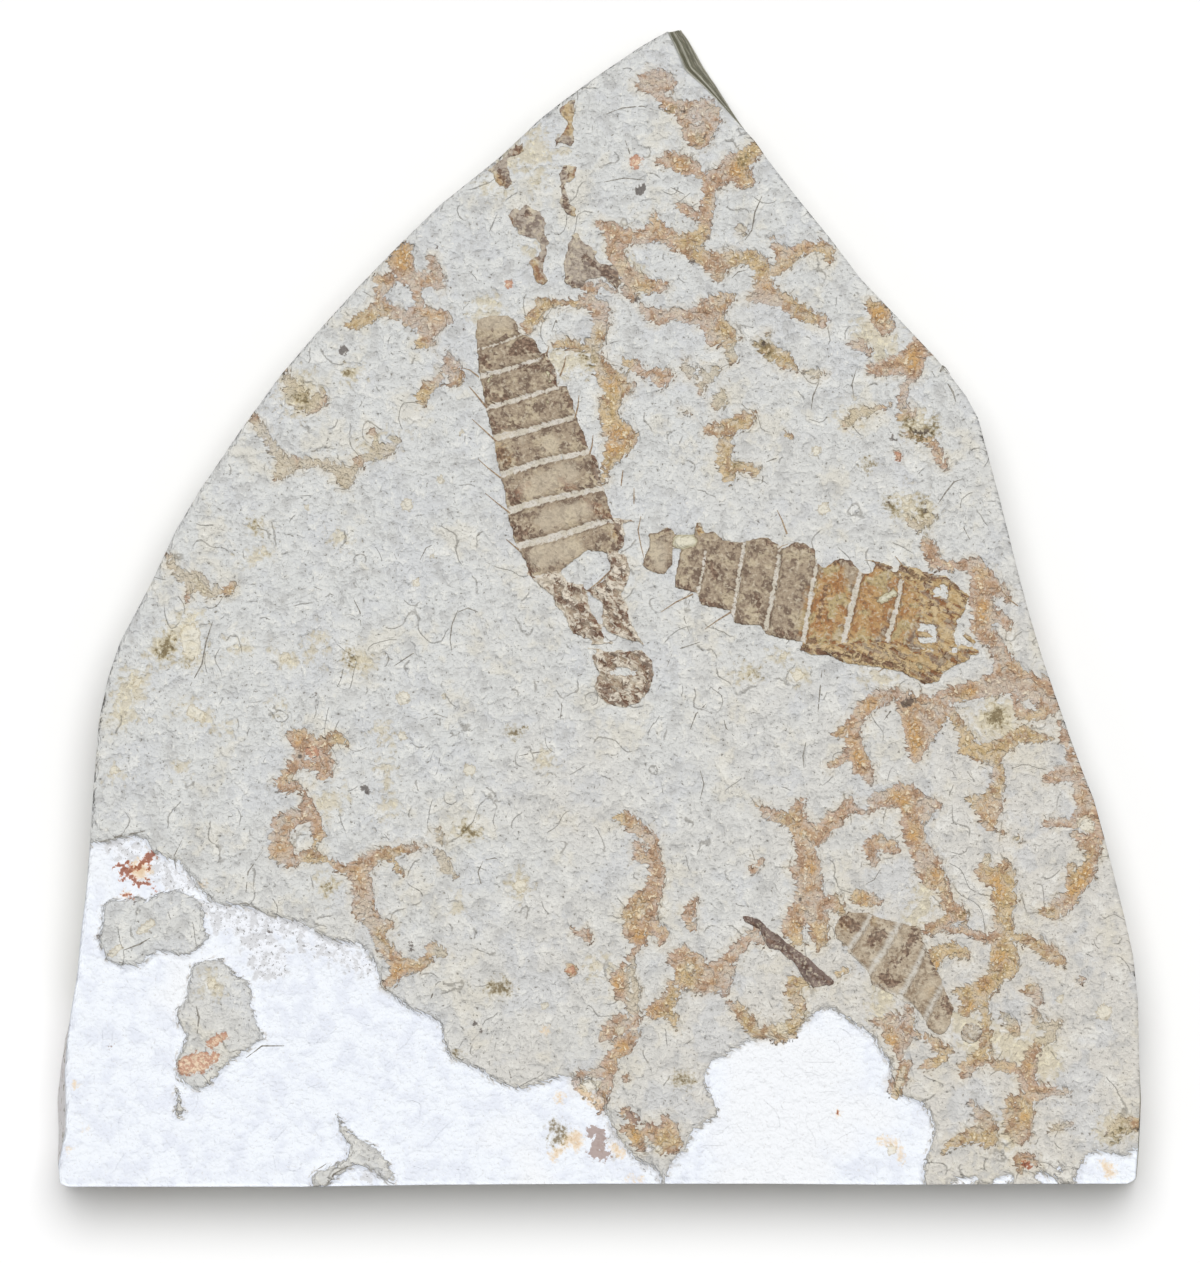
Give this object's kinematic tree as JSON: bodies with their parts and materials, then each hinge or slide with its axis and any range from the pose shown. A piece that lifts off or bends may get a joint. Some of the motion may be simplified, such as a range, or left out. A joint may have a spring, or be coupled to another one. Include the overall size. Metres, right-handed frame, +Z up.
{
  "type": "fossil mayfly larva slab",
  "caption": "Arch-shaped slab of pale shale lying flat, with flattened, segmented insect larvae and a plant scrap on its upper face.",
  "frame": {"origin": "centre of the slab's footprint, on the surface that it lies on", "axes": "+Z up, out of the fossil-bearing face; +Y towards the broken tip of the arch; +X to the right when the fossil face is read from above with the tip up"},
  "size_m": [0.109, 0.116, 0.0115],
  "materials": {
    "shale": "matt pale grey bed over a white bed, netted with ochre and rust stains",
    "brown_film": "satin brown mineral film in segments with pale joints",
    "ochre_film": "satin ochre to brown mineral film in segments with pale joints",
    "dark_film": "dark brown carbon film"
  },
  "bodies": {
    "root": {"slab": "shale", "upper_larva": "brown_film", "right_larva": "ochre_film", "lower_larva": "brown_film", "upper_larva_left_tail": "brown_film", "upper_larva_left_tail_tip": "brown_film", "upper_larva_middle_tail": "brown_film", "upper_larva_middle_tail_tip": "brown_film", "upper_larva_right_tail": "brown_film", "plant_scrap": "dark_film"}
  },
  "joints": []
}
